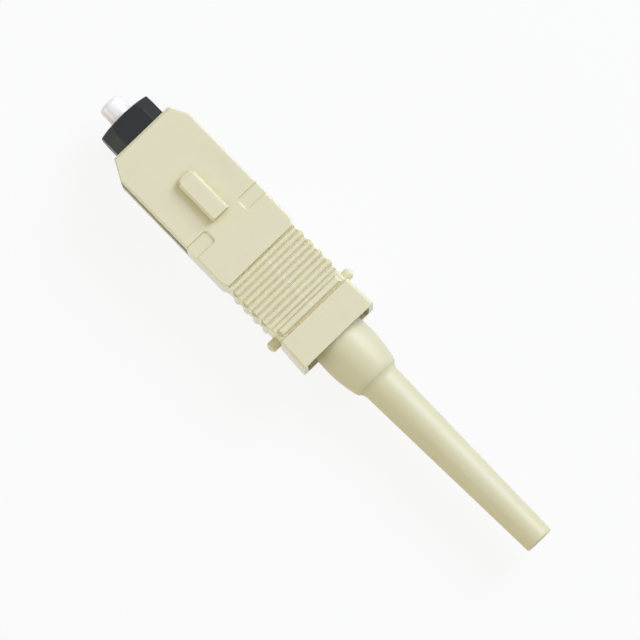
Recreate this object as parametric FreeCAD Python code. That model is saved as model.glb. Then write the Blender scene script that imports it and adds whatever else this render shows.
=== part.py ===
import FreeCAD, Part
import math
import os

# SC fibre connector. Millimetres. +X leaves the ferrule's end face, +Z is the key side.
# The origin is the centre of the ferrule's end face, so the connector lies along -X.

Vector = FreeCAD.Vector
os.makedirs("parts", exist_ok=True)

# ---- fits ----
GRIP_GAP = 0.08            # grip cavity to plug frame, each side
FREE_GAP = 0.27            # pieces that move past each other without guiding
SEAT_GAP = 0.02            # faces that rest on each other across a moving joint
PRESS_GAP = 0.01           # faces of pieces that are pressed together

# ---- ferrule ----
FERRULE_D = 2.5
FERRULE_LENGTH = 10.5
FERRULE_TIP_CHAMFER = 0.22
FERRULE_TIP_LENGTH = 0.40
FIBRE_BORE_D = 0.126
FUNNEL_D = 0.90
FUNNEL_LENGTH = 1.2
FERRULE_PRESS_TAPER = 0.005  # radius lost at the rear end, which is pressed in the holder
FERRULE_PROUD = 1.70       # tip ahead of the plug frame
FERRULE_TRAVEL = 1.5       # how far the ferrule is pushed back against its spring

# ---- ferrule holder ----
HOLDER_DISC_D = 4.3
HOLDER_DISC_LENGTH = 2.3
HOLDER_NOTCH_WIDTH = 0.80
HOLDER_NOTCH_DEPTH = 0.45
HOLDER_CUP_D = 3.0
HOLDER_CUP_FLOOR = 0.7     # metal behind the ferrule
HOLDER_TAIL_D = 2.2
HOLDER_TAIL_LENGTH = 6.8

# ---- guide tube ----
GUIDE_TUBE_D = 1.3
GUIDE_TUBE_BORE_D = 0.9
GUIDE_TUBE_LENGTH = 16.8

# ---- spring ----
SPRING_WIRE_D = 0.43
SPRING_LENGTH = 5.5        # at rest, between the holder and the rear body
SPRING_TURNS = 5.5
SPRING_CLOSED_TURNS = 1.0  # closed turns at each end
SPRING_STEPS = 10          # straight pieces per turn
SPRING_WIRE_SIDES = 7

# ---- plug frame ----
NOSE_HALF_WIDTH = 2.91
NOSE_HALF_HEIGHT = 2.80
NOSE_CORNER = 1.19
NOSE_LEAD_LENGTH = 1.25
NOSE_LEAD_DEPTH = 0.12
NOSE_LEAD_SIDE = 0.04
NOSE_LEAD_CORNER = 1.55
NOSE_ARCH_RADIUS = 12.0
NOSE_LENGTH = 10.2         # front to the wider body
SLEEVE_ROOM_D = 4.9        # front socket, where the adapter's sleeve holder enters
SLEEVE_ROOM_DEPTH = 5.5
SLEEVE_ROOM_LEAD = 0.2
SLEEVE_END_GAP = 0.1       # the adapter's sleeve stops this far ahead of the web
WEB_THICKNESS = 1.0
FRAME_BORE_D = 4.9         # room of the spring and the rear body
FRAME_BODY_HALF_WIDTH = 3.65
FRAME_BODY_CORNER = 0.45
FRAME_LENGTH = 21.5
FRAME_STEP = 0.7           # slope from the nose to the wider body
CATCH_LEAD_LENGTH = 1.6
CATCH_FLAT_LENGTH = 1.9
CATCH_FACE_FROM_NOSE = 6.4
CATCH_HALF_WIDTH = 4.41     # nearly flush with the grip's sides
CATCH_HALF_HEIGHT = 1.42
EAR_HALF_WIDTH = 4.41
EAR_HALF_HEIGHT = 2.03
EAR_LENGTH = 2.55
EAR_SLOPE = 0.5
COLLAR_HALF_WIDTH = 3.87
ANTI_TURN_KEY_GAP = 0.10

# ---- rear body ----
REAR_BODY_BORE_D = 2.8
SNAP_BEAD_HEIGHT = 0.14
SNAP_BEAD_LENGTH = 0.8
SNAP_BEAD_FROM_FLANGE = 2.4
REAR_FLANGE_D = 5.3
REAR_FLANGE_LENGTH = 1.0
STEM_D = 3.3
STEM_BORE_D = 1.9
STEM_LENGTH = 5.6
STEM_RINGS = 2
STEM_RING_DEPTH = 0.13

# ---- crimp sleeve ----
SLEEVE_WALL = 0.45
SLEEVE_GRIP_LENGTH = 5.2   # over the stem
SLEEVE_NECK_LENGTH = 0.8
SLEEVE_TAIL_LENGTH = 3.0   # over the cord's jacket
SLEEVE_TAIL_BORE_D = 2.3
SLEEVE_TAIL_WALL = 0.35

# ---- boot ----
BOOT_BULGE_D = 5.78
BOOT_BULGE_FROM_GRIP = 1.5
BOOT_SWELL_LENGTH = 2.7    # from the straight front, inside the grip, to the crest of the bulge
BOOT_SWELL_RISE = 0.22
BOOT_NECK_D = 4.90
BOOT_NECK_FROM_GRIP = 4.9
BOOT_CREASE_DEPTH = 0.05
BOOT_TAPER_START_D = 3.92
BOOT_TAPER_FROM_GRIP = 5.9
BOOT_END_D = 2.96
BOOT_OUTSIDE_LENGTH = 26.7
BOOT_END_EASE = 0.22
BOOT_BORE_D = 2.1
BOOT_SLEEVE_GAP = 0.03
BOOT_GUIDE_CONE = 0.7      # leads the cord from the boot's bore into the crimp sleeve

# ---- grip ----
GRIP_WIDTH = 9.0
GRIP_HEIGHT = 7.4
GRIP_LENGTH = 26.6
GRIP_SETBACK = 2.83        # plug frame's front to the grip's front
GRIP_TRAVEL = 1.9          # pull back that frees the latches
GRIP_EDGE = 0.12
GRIP_FRONT_HALF_WIDTH = 3.5
GRIP_FRONT_TAPER = 1.87
GRIP_FRONT_LIP = 0.3
FRONT_CAVITY_LENGTH = 5.3
LEDGE_LENGTH = 4.2         # behind the side windows, between the frame's ears and collar
REAR_CAVITY_HALF_WIDTH = 3.95
REAR_OPENING_HALF_HEIGHT = 3.06
CAVITY_CORNER = 0.3
WINDOW_HALF_HEIGHT = 2.15
WINDOW_LENGTH = 10.77
RAMP_WIDTH = 0.60          # release ramps on the window's lips
RAMP_HALF_WIDTH = 4.10
RAMP_FROM_FRONT = 1.95
RAMP_FLAT = 0.75
RAMP_RUN = 1.2
WAIST_FROM_FRONT = 15.4
WAIST_SLOPE = 0.7
WAIST_HALF_WIDTH = 4.20
WAIST_FLOOR = 0.30         # depth of the ribbed zone under the wide face
WAIST_DROP = 0.06          # run of the wide face's steep drop to that depth
WAIST_CORNER = 0.15
BLOCK_LENGTH = 3.25
BLOCK_SLOPE = 0.2
BLOCK_FRONT_HALF_WIDTH = 4.34
BLOCK_FRONT_CORNER = 0.20
BLOCK_REAR_CORNER = 0.25
RIB_COUNT = 9
RIB_PITCH = 0.63
RIB_HEIGHT = 0.21
RIB_GROOVE = 0.08
RIB_FLANK_RUN = 0.05
RIB_ROUND = 0.10           # height of the rounded top
RIB_FACE_HALF_WIDTH = 4.04
RIB_CROWN = 0.09           # the ribs fall this far from the middle to the edge
FIRST_RIB_FROM_FRONT = 16.22
SIDE_RIB_COUNT = 4
SIDE_RIB_CREST = 4.41
SIDE_RIB_WIDTH = 0.80
SIDE_RIB_HALF_LENGTH = 3.28
BAR_FROM_FRONT = 22.67
BAR_BASE = 1.0
BAR_TOP = 0.55
BAR_PROUD = 0.15
BAR_HALF_LENGTH = 3.92
BAR_END_SLOPE = 0.35
KEY_FROM_FRONT = 5.66
KEY_LENGTH = 5.1
KEY_NOSE_LENGTH = 0.58
KEY_NOSE_WIDTH = 0.9
KEY_WIDTH = 2.05
KEY_TOP_WIDTH = 1.59
KEY_HEIGHT = 0.90
KEY_NOSE_HEIGHT = 0.62
KEY_BEVEL_HEIGHT = 0.26
POCKET_FROM_FRONT = 10.80
POCKET_LENGTH = 1.40
POCKET_DEPTH = 0.18
POCKET_INNER = 1.97
POCKET_SLOPE = 0.18         # run of the sloped inner end
POCKET_CORNER = 0.25
PEG_D = 1.10
PEG_TIP_HALF_SPAN = 5.38
PEG_FROM_FRONT = 22.77
PEG_DOME = 0.30

# ---- places along the axis, all from the sizes above ----
FRAME_FRONT = -FERRULE_PROUD
WEB_REAR = FRAME_FRONT - SLEEVE_ROOM_DEPTH - WEB_THICKNESS
HOLDER_FRONT = WEB_REAR - SEAT_GAP
HOLDER_DISC_REAR = HOLDER_FRONT - HOLDER_DISC_LENGTH
CUP_REAR = -FERRULE_LENGTH - HOLDER_CUP_FLOOR
TAIL_REAR = CUP_REAR - HOLDER_TAIL_LENGTH
SPRING_REAR = HOLDER_DISC_REAR - SPRING_LENGTH
FRAME_REAR = FRAME_FRONT - FRAME_LENGTH
FLANGE_REAR = FRAME_REAR - REAR_FLANGE_LENGTH
STEM_REAR = FLANGE_REAR - STEM_LENGTH
SLEEVE_STEP = FLANGE_REAR - SLEEVE_GRIP_LENGTH
SLEEVE_REAR = SLEEVE_STEP - SLEEVE_NECK_LENGTH - SLEEVE_TAIL_LENGTH
GRIP_FRONT = FRAME_FRONT - GRIP_SETBACK
GRIP_REAR = GRIP_FRONT - GRIP_LENGTH
WINDOW_REAR = GRIP_FRONT - WINDOW_LENGTH
EAR_REAR = WINDOW_REAR + SEAT_GAP
LEDGE_REAR = WINDOW_REAR - LEDGE_LENGTH
COLLAR_FRONT = LEDGE_REAR - GRIP_TRAVEL - SEAT_GAP
SLEEVE_OUTER_D = STEM_D + 2 * (PRESS_GAP + SLEEVE_WALL)
SPRING_MEAN_D = (HOLDER_CUP_D + FRAME_BORE_D) / 2


def section(x, half_width, half_height, corner):
    """Eight-sided cross-section at x: a rectangle with its four corners cut at 45 degrees."""
    w, h, c = half_width, half_height, corner
    ring = [(w - c, h), (w, h - c), (w, c - h), (w - c, -h),
            (c - w, -h), (-w, c - h), (-w, h - c), (c - w, h)]
    return [Vector(x, y, z) for y, z in ring]


def flat_faces(corners):
    """One flat face for four points in a plane, otherwise two triangles."""
    a, b, c, d = corners
    off = (b - a).cross(d - a).dot(c - a)
    rings = [[a, b, c, d]] if abs(off) < 1e-7 else [[a, b, c], [a, c, d]]
    return [Part.Face(Part.makePolygon(ring + ring[:1])) for ring in rings]


def skinned(rings):
    """Solid with flat faces through rings of points, closed at both ends."""
    faces = [Part.Face(Part.makePolygon(ring + ring[:1])) for ring in (rings[0], rings[-1])]
    for near, far in zip(rings, rings[1:]):
        count = len(near)
        for n in range(count):
            m = (n + 1) % count
            faces += flat_faces([near[n], near[m], far[m], far[n]])
    solid = Part.Solid(Part.makeShell(faces))
    if solid.Volume < 0:
        solid.reverse()
    return solid


def lofted(sections):
    return skinned([section(*s) for s in sections])


def slab(points, direction):
    """A flat outline, given as points, pushed along a direction."""
    return Part.Face(Part.makePolygon(points + points[:1])).extrude(direction)


def block(x0, x1, y0, y1, z0, z1):
    low = Vector(min(x0, x1), min(y0, y1), min(z0, z1))
    return Part.makeBox(abs(x1 - x0), abs(y1 - y0), abs(z1 - z0), low)


def rod(diameter, x_front, x_rear):
    return Part.makeCylinder(diameter / 2, x_front - x_rear, Vector(x_rear, 0, 0), Vector(1, 0, 0))


def turned(profile):
    """Revolves an (x, radius) outline about the connector's axis."""
    points = [Vector(x, 0, r) for x, r in profile]
    return Part.Face(Part.makePolygon(points + points[:1])).revolve(
        Vector(0, 0, 0), Vector(1, 0, 0), 360)


def mirrored_y(shape):
    return shape.mirror(Vector(0, 0, 0), Vector(0, 1, 0))


def mirrored_z(shape):
    return shape.mirror(Vector(0, 0, 0), Vector(0, 0, 1))


def both_sides(shape):
    return [shape, mirrored_y(shape)]


def joined(first, others):
    return first.fuse(others).removeSplitter()


# ---- ferrule, holder and guide tube: the body that moves against the spring ----
def make_ferrule():
    r = FERRULE_D / 2
    tip = r - FERRULE_TIP_CHAMFER
    # the rounded edge is an arc that runs smoothly into the cylinder
    bend = (FERRULE_TIP_LENGTH ** 2 + FERRULE_TIP_CHAMFER ** 2) / (2 * FERRULE_TIP_CHAMFER)
    half_turn = math.asin(FERRULE_TIP_LENGTH / bend) / 2
    shoulder = Part.Arc(
        Vector(0, 0, tip),
        Vector(bend * math.sin(half_turn) - FERRULE_TIP_LENGTH, 0, r - bend * (1 - math.cos(half_turn))),
        Vector(-FERRULE_TIP_LENGTH, 0, r)).toShape()
    rear = -FERRULE_LENGTH
    free_end = WEB_REAR + WEB_THICKNESS + SLEEVE_END_GAP
    held = r - FERRULE_PRESS_TAPER
    edges = [Part.makeLine(Vector(0, 0, 0), Vector(0, 0, tip)), shoulder,
             Part.makeLine(Vector(-FERRULE_TIP_LENGTH, 0, r), Vector(free_end, 0, r)),
             Part.makeLine(Vector(free_end, 0, r), Vector(rear, 0, held)),
             Part.makeLine(Vector(rear, 0, held), Vector(rear, 0, 0)),
             Part.makeLine(Vector(rear, 0, 0), Vector(0, 0, 0))]
    body = Part.Face(Part.Wire(edges)).revolve(Vector(0, 0, 0), Vector(1, 0, 0), 360)
    bore = rod(FIBRE_BORE_D, 1, rear - 1)
    funnel = turned([(rear - 0.01, 0), (rear - 0.01, FUNNEL_D / 2),
                     (rear + FUNNEL_LENGTH, FIBRE_BORE_D / 2), (rear + FUNNEL_LENGTH, 0)])
    return body.cut([bore, funnel])


def make_holder():
    """Metal flange pressed on the ferrule: notched disc, cup and tail tube."""
    disc, cup, tail = HOLDER_DISC_D / 2, HOLDER_CUP_D / 2, HOLDER_TAIL_D / 2
    seat = FERRULE_D / 2 + PRESS_GAP
    tube = GUIDE_TUBE_D / 2 + PRESS_GAP
    floor = -FERRULE_LENGTH
    edge = 0.2
    body = turned([
        (HOLDER_FRONT, seat), (HOLDER_FRONT, disc - edge), (HOLDER_FRONT - edge, disc),
        (HOLDER_DISC_REAR, disc), (HOLDER_DISC_REAR, cup), (CUP_REAR, cup), (CUP_REAR, tail),
        (TAIL_REAR, tail), (TAIL_REAR, tube), (floor, tube), (floor, seat)])
    half = HOLDER_NOTCH_WIDTH / 2
    notch = block(HOLDER_FRONT + 1, HOLDER_DISC_REAR, -half, half, disc - HOLDER_NOTCH_DEPTH, disc + 1)
    turns = [notch.rotated(Vector(0, 0, 0), Vector(1, 0, 0), 90 * n) for n in range(4)]
    return body.cut(turns)


def make_guide_tube():
    front = -FERRULE_LENGTH
    return rod(GUIDE_TUBE_D, front, front - GUIDE_TUBE_LENGTH).cut(
        rod(GUIDE_TUBE_BORE_D, front + 1, front - GUIDE_TUBE_LENGTH - 1))


def spring_path():
    """Points of the wire's centre line: closed turns at both ends, open turns between."""
    radius = SPRING_MEAN_D / 2
    front = HOLDER_DISC_REAR - SPRING_WIRE_D / 2 - SEAT_GAP
    rear = SPRING_REAR + SPRING_WIRE_D / 2 + SEAT_GAP
    closed = SPRING_WIRE_D * 1.04 * SPRING_CLOSED_TURNS
    steps = int(SPRING_TURNS * SPRING_STEPS)
    points = []
    for n in range(steps + 1):
        turn = SPRING_TURNS * n / steps
        if turn <= SPRING_CLOSED_TURNS:
            x = front - closed * turn / SPRING_CLOSED_TURNS
        elif turn >= SPRING_TURNS - SPRING_CLOSED_TURNS:
            x = rear + closed * (SPRING_TURNS - turn) / SPRING_CLOSED_TURNS
        else:
            share = (turn - SPRING_CLOSED_TURNS) / (SPRING_TURNS - 2 * SPRING_CLOSED_TURNS)
            x = front - closed + (rear - front + 2 * closed) * share
        angle = 2 * math.pi * turn
        points.append(Vector(x, radius * math.cos(angle), radius * math.sin(angle)))
    return points


def make_spring():
    points = spring_path()
    path = Part.makePolygon(points)
    along = (points[1] - points[0]).normalize()
    out = Vector(0, points[0].y, points[0].z).normalize()
    out = (out - along * out.dot(along)).normalize()
    side = along.cross(out)
    r = SPRING_WIRE_D / 2
    turns = [2 * math.pi * n / SPRING_WIRE_SIDES for n in range(SPRING_WIRE_SIDES + 1)]
    ring = [points[0] + out * (r * math.cos(t)) + side * (r * math.sin(t)) for t in turns]
    return path.makePipeShell([Part.makePolygon(ring)], True, False, 1)


# ---- plug frame, rear body, crimp sleeve and boot: the body that the cord is tied to ----
def frame_outside():
    w, h, c = NOSE_HALF_WIDTH, NOSE_HALF_HEIGHT, NOSE_CORNER
    body_start = FRAME_FRONT - NOSE_LENGTH
    body = lofted([
        (FRAME_FRONT, w - NOSE_LEAD_SIDE, h - NOSE_LEAD_DEPTH, NOSE_LEAD_CORNER),
        (FRAME_FRONT - NOSE_LEAD_LENGTH, w, h, c),
        (body_start, w, h, c),
        (body_start - FRAME_STEP, FRAME_BODY_HALF_WIDTH, h, FRAME_BODY_CORNER),
        (FRAME_REAR, FRAME_BODY_HALF_WIDTH, h, FRAME_BODY_CORNER)])
    arch = Part.makeSphere(NOSE_ARCH_RADIUS, Vector(FRAME_FRONT - NOSE_ARCH_RADIUS, 0, 0))
    cap = block(FRAME_FRONT + 1, FRAME_FRONT - 1, -w - 1, w + 1, -h - 1, h + 1)
    return body.cut(cap.cut(arch))


def catch_wing():
    """Wedge that the adapter's hook snaps over, on the +Y side."""
    rear = FRAME_FRONT - CATCH_FACE_FROM_NOSE
    flat = rear + CATCH_FLAT_LENGTH
    root = NOSE_HALF_WIDTH - 0.3
    z = -CATCH_HALF_HEIGHT
    points = [Vector(flat + CATCH_LEAD_LENGTH, root, z), Vector(flat + CATCH_LEAD_LENGTH, NOSE_HALF_WIDTH, z),
              Vector(flat, CATCH_HALF_WIDTH, z), Vector(rear, CATCH_HALF_WIDTH, z), Vector(rear, root, z)]
    return slab(points, Vector(0, 0, 2 * CATCH_HALF_HEIGHT))


def ear():
    """Shoulder in the grip's side window. Its rear face takes the push of the grip."""
    front = EAR_REAR + EAR_LENGTH
    root = FRAME_BODY_HALF_WIDTH - 0.3
    z = -EAR_HALF_HEIGHT
    points = [Vector(EAR_REAR, root, z), Vector(EAR_REAR, EAR_HALF_WIDTH, z),
              Vector(front - EAR_SLOPE, EAR_HALF_WIDTH, z), Vector(front, FRAME_BODY_HALF_WIDTH, z),
              Vector(front, root, z)]
    return slab(points, Vector(0, 0, 2 * EAR_HALF_HEIGHT))


def collar():
    """Rear flange that stops the grip when it is pulled back."""
    return lofted([(COLLAR_FRONT, COLLAR_HALF_WIDTH, NOSE_HALF_HEIGHT, FRAME_BODY_CORNER),
                   (FRAME_REAR, COLLAR_HALF_WIDTH, NOSE_HALF_HEIGHT, FRAME_BODY_CORNER)])


def snap_bead(extra):
    """The bead on the rear body, or with extra its groove in the plug frame."""
    r = FRAME_BORE_D / 2
    middle = FRAME_REAR + SNAP_BEAD_FROM_FLANGE
    half = SNAP_BEAD_LENGTH / 2 + extra
    crest = r + SNAP_BEAD_HEIGHT + extra
    return turned([(middle + half, r - 0.3), (middle + half, r - PRESS_GAP), (middle + 0.1, crest),
                   (middle - half, crest), (middle - half, r - 0.3)])


def anti_turn_keys():
    """Two keys in the bore that enter the holder's notches and stop the ferrule from turning."""
    half = HOLDER_NOTCH_WIDTH / 2 - ANTI_TURN_KEY_GAP
    inner = HOLDER_DISC_D / 2 - HOLDER_NOTCH_DEPTH + ANTI_TURN_KEY_GAP
    outer = FRAME_BORE_D / 2 + 0.1
    rear = HOLDER_DISC_REAR + SEAT_GAP
    return [block(WEB_REAR + 0.1, rear, -half, half, inner, outer),
            block(WEB_REAR + 0.1, rear, -half, half, -outer, -inner)]


def make_plug_frame():
    body = joined(frame_outside(), both_sides(catch_wing()) + both_sides(ear()) + [collar()])
    room, lead = SLEEVE_ROOM_D / 2, SLEEVE_ROOM_LEAD
    front_room = turned([
        (FRAME_FRONT + 1, 0), (FRAME_FRONT + 1, room + lead), (FRAME_FRONT - 0.1, room + lead),
        (FRAME_FRONT - 0.1 - lead, room), (WEB_REAR + WEB_THICKNESS, room), (WEB_REAR + WEB_THICKNESS, 0)])
    hole = rod(FERRULE_D + 2 * FREE_GAP, WEB_REAR + WEB_THICKNESS + 0.5, WEB_REAR - 0.5)
    rear_room = rod(FRAME_BORE_D, WEB_REAR, FRAME_REAR - 1)
    body = body.cut([front_room, hole, rear_room, snap_bead(0.02)])
    return joined(body, anti_turn_keys())


def make_rear_body():
    """Metal piece that closes the plug frame: spring seat, snap bead, flange and crimp stem."""
    outer = FRAME_BORE_D / 2 - PRESS_GAP
    bore, stem, hole = REAR_BODY_BORE_D / 2, STEM_D / 2, STEM_BORE_D / 2
    front = SPRING_REAR
    edge = 0.2
    bore_rear = TAIL_REAR - FERRULE_TRAVEL - FREE_GAP
    body = turned([
        (front, bore), (front, outer - edge), (front - edge, outer), (FRAME_REAR, outer),
        (FRAME_REAR, REAR_FLANGE_D / 2), (FLANGE_REAR, REAR_FLANGE_D / 2), (FLANGE_REAR, stem),
        (STEM_REAR, stem), (STEM_REAR, hole), (bore_rear, hole), (bore_rear, bore)])
    body = joined(body, [snap_bead(0)])
    grooves = []
    pitch = (SLEEVE_GRIP_LENGTH - 0.6) / STEM_RINGS
    for n in range(STEM_RINGS):
        middle = FLANGE_REAR - 0.4 - pitch * (n + 0.5)
        deep = stem - STEM_RING_DEPTH
        grooves.append(turned([(middle + pitch * 0.3, stem + 0.1), (middle + pitch * 0.3, stem),
                               (middle, deep), (middle - pitch * 0.3, stem),
                               (middle - pitch * 0.3, stem + 0.1)]))
    return body.cut(grooves)


def make_crimp_sleeve():
    outer, inner = SLEEVE_OUTER_D / 2, STEM_D / 2 + PRESS_GAP
    tail_in = SLEEVE_TAIL_BORE_D / 2
    tail_out = tail_in + SLEEVE_TAIL_WALL
    neck = SLEEVE_STEP - SLEEVE_NECK_LENGTH
    front = FLANGE_REAR - SEAT_GAP
    return turned([
        (front, inner), (front, outer), (SLEEVE_STEP, outer),
        (neck, tail_out), (SLEEVE_REAR, tail_out), (SLEEVE_REAR, tail_in), (neck, tail_in),
        (neck, inner)])


def level_arc(x, r, x_end, r_end):
    """Arc of a profile that runs along the axis at (x, r) and ends at (x_end, r_end)."""
    run, rise = x_end - x, r_end - r
    bend = (run * run + rise * rise) / (2 * abs(rise))
    half = math.asin(abs(run) / bend) / 2
    middle = Vector(x + math.copysign(bend * math.sin(half), run), 0,
                    r + math.copysign(bend * (1 - math.cos(half)), rise))
    return Part.Arc(Vector(x, 0, r), middle, Vector(x_end, 0, r_end)).toShape()


def boot_outline():
    """Upper half of the boot's profile as edges, from its front to its rear end."""
    bulge, neck = BOOT_BULGE_D / 2, BOOT_NECK_D / 2
    taper, end = BOOT_TAPER_START_D / 2, BOOT_END_D / 2
    front = FLANGE_REAR - SEAT_GAP
    crest_x = GRIP_REAR - BOOT_BULGE_FROM_GRIP
    swell_x, swell = crest_x + BOOT_SWELL_LENGTH, bulge - BOOT_SWELL_RISE
    neck_x = GRIP_REAR - BOOT_NECK_FROM_GRIP
    step_x, step = neck_x - 0.15, neck - BOOT_CREASE_DEPTH
    taper_x = GRIP_REAR - BOOT_TAPER_FROM_GRIP
    hollow_x, hollow = (step_x + taper_x) / 2, taper + (step - taper) / 4
    rear = GRIP_REAR - BOOT_OUTSIDE_LENGTH
    ease = BOOT_END_EASE

    def at(x, r):
        return Vector(x, 0, r)
    line = Part.makeLine
    return [line(at(front, swell), at(swell_x, swell)),
            level_arc(crest_x, bulge, swell_x, swell), level_arc(crest_x, bulge, neck_x, neck),
            line(at(neck_x, neck), at(step_x, step)),
            line(at(step_x, step), at(hollow_x, hollow)), line(at(hollow_x, hollow), at(taper_x, taper)),
            line(at(taper_x, taper), at(rear + ease, end)),
            line(at(rear + ease, end), at(rear, end - 0.6 * ease))], front, rear


def make_boot():
    edges, front, rear = boot_outline()
    end = BOOT_END_D / 2 - 0.6 * BOOT_END_EASE
    edges += [Part.makeLine(Vector(rear, 0, end), Vector(rear, 0, 0)),
              Part.makeLine(Vector(rear, 0, 0), Vector(front, 0, 0)),
              Part.makeLine(Vector(front, 0, 0), edges[0].valueAt(edges[0].FirstParameter))]
    body = Part.Face(Part.Wire(edges)).revolve(Vector(0, 0, 0), Vector(1, 0, 0), 360)
    gap = BOOT_SLEEVE_GAP
    tail_out = SLEEVE_TAIL_BORE_D / 2 + SLEEVE_TAIL_WALL
    neck = SLEEVE_STEP - SLEEVE_NECK_LENGTH
    end_x = SLEEVE_REAR - SEAT_GAP
    room = turned([
        (front + 1, 0), (front + 1, SLEEVE_OUTER_D / 2 + gap), (SLEEVE_STEP - gap, SLEEVE_OUTER_D / 2 + gap),
        (neck - gap, tail_out + gap), (end_x, tail_out + gap), (end_x - BOOT_GUIDE_CONE, BOOT_BORE_D / 2),
        (rear - 1, BOOT_BORE_D / 2), (rear - 1, 0)])
    return body.cut(room)


# ---- grip ----
def grip_outside():
    w, h = GRIP_WIDTH / 2, GRIP_HEIGHT / 2
    lip = GRIP_FRONT_LIP
    lip_w = GRIP_FRONT_HALF_WIDTH + (w - GRIP_FRONT_HALF_WIDTH) * lip / GRIP_FRONT_TAPER
    waist = GRIP_FRONT - WAIST_FROM_FRONT
    floor = h - WAIST_FLOOR
    block_front = GRIP_REAR + BLOCK_LENGTH
    return lofted([
        (GRIP_FRONT, GRIP_FRONT_HALF_WIDTH, h - lip, GRIP_EDGE),
        (GRIP_FRONT - lip, lip_w, h, GRIP_EDGE),
        (GRIP_FRONT - GRIP_FRONT_TAPER, w, h, GRIP_EDGE),
        (waist, w, h, GRIP_EDGE),
        (waist - WAIST_SLOPE, WAIST_HALF_WIDTH, h, GRIP_EDGE),
        (waist - WAIST_SLOPE - WAIST_DROP, WAIST_HALF_WIDTH, floor, WAIST_CORNER),
        (block_front + BLOCK_SLOPE, WAIST_HALF_WIDTH, floor, WAIST_CORNER),
        (block_front, BLOCK_FRONT_HALF_WIDTH, h, BLOCK_FRONT_CORNER),
        (GRIP_REAR, w, h, BLOCK_REAR_CORNER)])


def roof_half(outline, reach, height):
    """The +Y half of a low roof: an outline pushed out to the side, tilted down, cut at the middle."""
    spill = 0.5
    half = outline.extrude(Vector(0, reach + 2 * spill, 0))
    half.translate(Vector(0, -spill, 0))
    half.rotate(Vector(0, 0, height), Vector(1, 0, 0), -math.degrees(math.atan2(RIB_CROWN, reach)))
    box = half.BoundBox
    return half.common(block(box.XMin - 1, box.XMax + 1, 0, reach, box.ZMin - 1, box.ZMax + 1))


def rib_limit():
    """Eight-sided prism that cuts the ends of all ribs along the grip's four long edges."""
    front = GRIP_FRONT - FIRST_RIB_FROM_FRONT + RIB_PITCH
    rear = front - (RIB_COUNT + 2) * RIB_PITCH
    top = GRIP_HEIGHT / 2 - WAIST_FLOOR + RIB_CROWN + RIB_HEIGHT
    corner = SIDE_RIB_CREST - RIB_FACE_HALF_WIDTH
    return lofted([(x, SIDE_RIB_CREST, top, corner) for x in (front, rear)])


def rib_comb():
    """The rounded cross ribs of the upper face: one comb profile pushed out to both sides, falling."""
    floor = GRIP_HEIGHT / 2 - WAIST_FLOOR + RIB_CROWN
    first = GRIP_FRONT - FIRST_RIB_FROM_FRONT
    half_groove = RIB_GROOVE / 2
    low = floor - WAIST_FLOOR - RIB_CROWN
    edges = []
    last = Vector(first, 0, floor)
    corner = Vector(first, 0, low)
    edges.append(Part.makeLine(corner, last))
    for n in range(RIB_COUNT):
        start = Vector(first - n * RIB_PITCH - half_groove, 0, floor)
        stop = Vector(first - (n + 1) * RIB_PITCH + half_groove, 0, floor)
        crest = Vector((start.x + stop.x) / 2, 0, floor + RIB_HEIGHT)
        rise = Vector(-RIB_FLANK_RUN, 0, RIB_HEIGHT - RIB_ROUND)
        front_edge, rear_edge = start + rise, stop + Vector(-rise.x, 0, rise.z)
        edges += [Part.makeLine(last, start), Part.makeLine(start, front_edge),
                  Part.Arc(front_edge, crest, rear_edge).toShape(), Part.makeLine(rear_edge, stop)]
        last = stop
    end = Vector(first - RIB_COUNT * RIB_PITCH, 0, floor)
    foot = Vector(end.x, 0, low)
    edges += [Part.makeLine(last, end), Part.makeLine(end, foot), Part.makeLine(foot, corner)]
    comb = Part.Face(Part.Wire(edges))
    half = roof_half(comb, WAIST_HALF_WIDTH, floor)
    return half.fuse(mirrored_y(half)).common(rib_limit())


def cross_bar():
    """The large bar behind the ribs, with sloped flanks and ends and a crowned top."""
    middle = GRIP_FRONT - BAR_FROM_FRONT
    top = GRIP_HEIGHT / 2 + BAR_PROUD
    base_z = GRIP_HEIGHT / 2 - WAIST_FLOOR - 0.1
    base, crest = BAR_BASE / 2, BAR_TOP / 2
    face = [Vector(middle + base, 0, base_z), Vector(middle + crest, 0, top - 0.06),
            Vector(middle + crest - 0.08, 0, top), Vector(middle - crest + 0.08, 0, top),
            Vector(middle - crest, 0, top - 0.06), Vector(middle - base, 0, base_z)]
    outline = Part.Face(Part.makePolygon(face + face[:1]))
    half = roof_half(outline, BAR_HALF_LENGTH, top)
    slope = BAR_END_SLOPE
    ends = slab([Vector(middle - 2, -BAR_HALF_LENGTH, base_z - 0.2), Vector(middle - 2, BAR_HALF_LENGTH, base_z - 0.2),
                 Vector(middle - 2, BAR_HALF_LENGTH - slope, top), Vector(middle - 2, slope - BAR_HALF_LENGTH, top)],
                Vector(4, 0, 0))
    return half.fuse(mirrored_y(half)).common(ends)


def side_ribs():
    """Rounded upright ribs on the +Y narrow side, one for every second cross rib."""
    first = GRIP_FRONT - FIRST_RIB_FROM_FRONT
    root = WAIST_HALF_WIDTH - 0.1
    ribs = []
    for n in range(SIDE_RIB_COUNT):
        middle = first - (2 * n + 1.5) * RIB_PITCH
        half = SIDE_RIB_WIDTH / 2
        z = -SIDE_RIB_HALF_LENGTH
        crest = Part.Arc(Vector(middle + half, WAIST_HALF_WIDTH, z), Vector(middle, SIDE_RIB_CREST, z),
                         Vector(middle - half, WAIST_HALF_WIDTH, z)).toShape()
        a, b = Vector(middle + half, root, z), Vector(middle - half, root, z)
        wire = Part.Wire([Part.makeLine(a, Vector(middle + half, WAIST_HALF_WIDTH, z)), crest,
                          Part.makeLine(Vector(middle - half, WAIST_HALF_WIDTH, z), b), Part.makeLine(b, a)])
        ribs.append(Part.Face(wire).extrude(Vector(0, 0, 2 * SIDE_RIB_HALF_LENGTH)).common(rib_limit()))
    return ribs


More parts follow.
